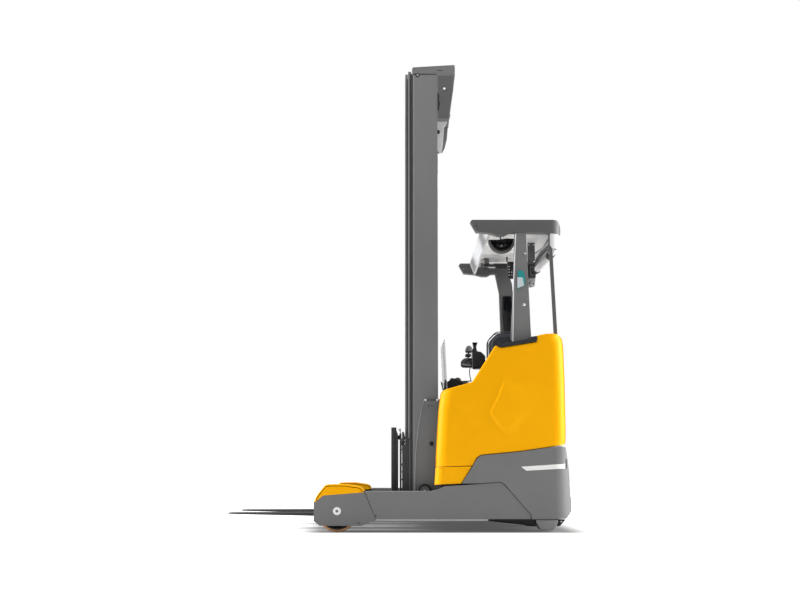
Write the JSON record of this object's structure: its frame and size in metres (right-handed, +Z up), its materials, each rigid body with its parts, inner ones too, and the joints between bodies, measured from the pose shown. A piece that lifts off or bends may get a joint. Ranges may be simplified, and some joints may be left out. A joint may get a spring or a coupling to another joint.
{
  "type": "reach truck",
  "caption": "Electric reach truck: telescopic mast on a sliding carriage, forks between two load arms, sideways seat under an overhead guard.",
  "frame": {"origin": "on the floor under the middle of the overall box", "axes": "+Z up, +X to the rear, forks point to -X, entry side +Y"},
  "size_m": [2.433, 1.27, 3.362],
  "materials": {
    "body_yellow": "gloss",
    "frame_grey": "satin",
    "guard_grey": "satin",
    "dark_steel": "satin",
    "black_plastic": "matte",
    "seat_fabric": "matte",
    "roller_steel": "satin",
    "hub_black": "satin",
    "load_tyre": "satin",
    "drive_tyre": "matte",
    "clear_sheet": "gloss",
    "roof_sheet": "satin",
    "mirror_black": "gloss"
  },
  "bodies": {
    "chassis": {"chassis_frame": "dark_steel", "near_load_arm": "frame_grey", "far_load_arm": "frame_grey", "arm_caps": "frame_grey", "wheel_covers": "body_yellow", "drive_motor": "dark_steel", "stabilisers": "frame_grey", "battery": "dark_steel", "near_side_panel": "body_yellow", "lower_panels": "body_yellow", "far_front_panel": "body_yellow", "far_rear_panel": "body_yellow", "rear_wall": "body_yellow", "battery_hood": "black_plastic", "rear_cover": "frame_grey", "rear_bumper": "dark_steel", "cab_floor": "black_plastic", "seat_base": "black_plastic", "seat_cushion": "seat_fabric", "seat_back": "seat_fabric", "dashboard": "black_plastic", "arm_console": "black_plastic", "cab_screen": "clear_sheet", "guard_frame": "guard_grey", "near_pillar": "guard_grey", "far_pillar": "guard_grey", "rear_rods": "guard_grey", "roof_sheet": "roof_sheet", "terminal": "black_plastic", "dome_mirror": "mirror_black"},
    "near_load_wheel": {"near_load_hub": "hub_black", "near_load_tyre": "load_tyre"},
    "far_load_wheel": {"far_load_hub": "hub_black", "far_load_tyre": "load_tyre"},
    "drive_steering": {"drive_turret": "hub_black"},
    "drive_wheel": {"drive_hub": "hub_black", "drive_tyre": "drive_tyre"},
    "hand_wheel": {"steering_wheel": "black_plastic"},
    "reach_carriage": {"reach_carriage": "frame_grey", "guide_rollers": "roller_steel", "outer_mast": "frame_grey", "mast_yoke": "frame_grey"},
    "middle_mast": {"middle_mast": "frame_grey"},
    "inner_mast": {"inner_mast": "frame_grey"},
    "free_lift_rod": {"free_lift_rod": "roller_steel"},
    "lift_carriage": {"lift_carriage": "dark_steel"},
    "side_shift": {"side_shift_frame": "dark_steel"},
    "fork_frame": {"fork_frame": "dark_steel", "near_fork": "dark_steel", "far_fork": "dark_steel"}
  },
  "joints": [
    {"name": "near_load_wheel_roll", "type": "hinge", "parent": "chassis", "child": "near_load_wheel", "pos_m": [-0.3955, -0.557, 0.143], "axis": [0, 1, 0], "continuous": true},
    {"name": "far_load_wheel_roll", "type": "hinge", "parent": "chassis", "child": "far_load_wheel", "pos_m": [-0.3955, 0.557, 0.143], "axis": [0, 1, 0], "continuous": true},
    {"name": "drive_steer", "type": "hinge", "parent": "chassis", "child": "drive_steering", "pos_m": [1.0145, 0, 0.36], "axis": [0, 0, 1], "continuous": true},
    {"name": "drive_wheel_roll", "type": "hinge", "parent": "drive_steering", "child": "drive_wheel", "pos_m": [1.0145, 0, 0.1715], "axis": [0, 1, 0], "continuous": true},
    {"name": "hand_wheel_turn", "type": "hinge", "parent": "chassis", "child": "hand_wheel", "pos_m": [0.4685, 0.215, 1.098], "axis": [0, 0, 1], "continuous": true},
    {"name": "reach", "type": "slide", "parent": "chassis", "child": "reach_carriage", "axis": [-1, 0, 0], "range_m": [0, 0.56]},
    {"name": "middle_lift", "type": "slide", "parent": "reach_carriage", "child": "middle_mast", "axis": [0, 0, 1], "range_m": [0, 2.65]},
    {"name": "inner_lift", "type": "slide", "parent": "middle_mast", "child": "inner_mast", "axis": [0, 0, 1], "range_m": [0, 2.65]},
    {"name": "free_rod_lift", "type": "slide", "parent": "inner_mast", "child": "free_lift_rod", "axis": [0, 0, 1], "range_m": [-0.0265, 1.25]},
    {"name": "fork_lift", "type": "slide", "parent": "free_lift_rod", "child": "lift_carriage", "axis": [0, 0, 1], "range_m": [-0.0265, 1.25]},
    {"name": "side_shift", "type": "slide", "parent": "lift_carriage", "child": "side_shift", "axis": [0, 1, 0], "range_m": [-0.075, 0.075]},
    {"name": "fork_tilt", "type": "hinge", "parent": "side_shift", "child": "fork_frame", "pos_m": [0.0175, 0, 0.67], "axis": [0, 1, 0], "range_deg": [-1, 3]}
  ],
  "couplings": [
    {"joint": "inner_lift", "follows": "middle_lift", "ratio": 1},
    {"joint": "fork_lift", "follows": "free_rod_lift", "ratio": 1}
  ]
}
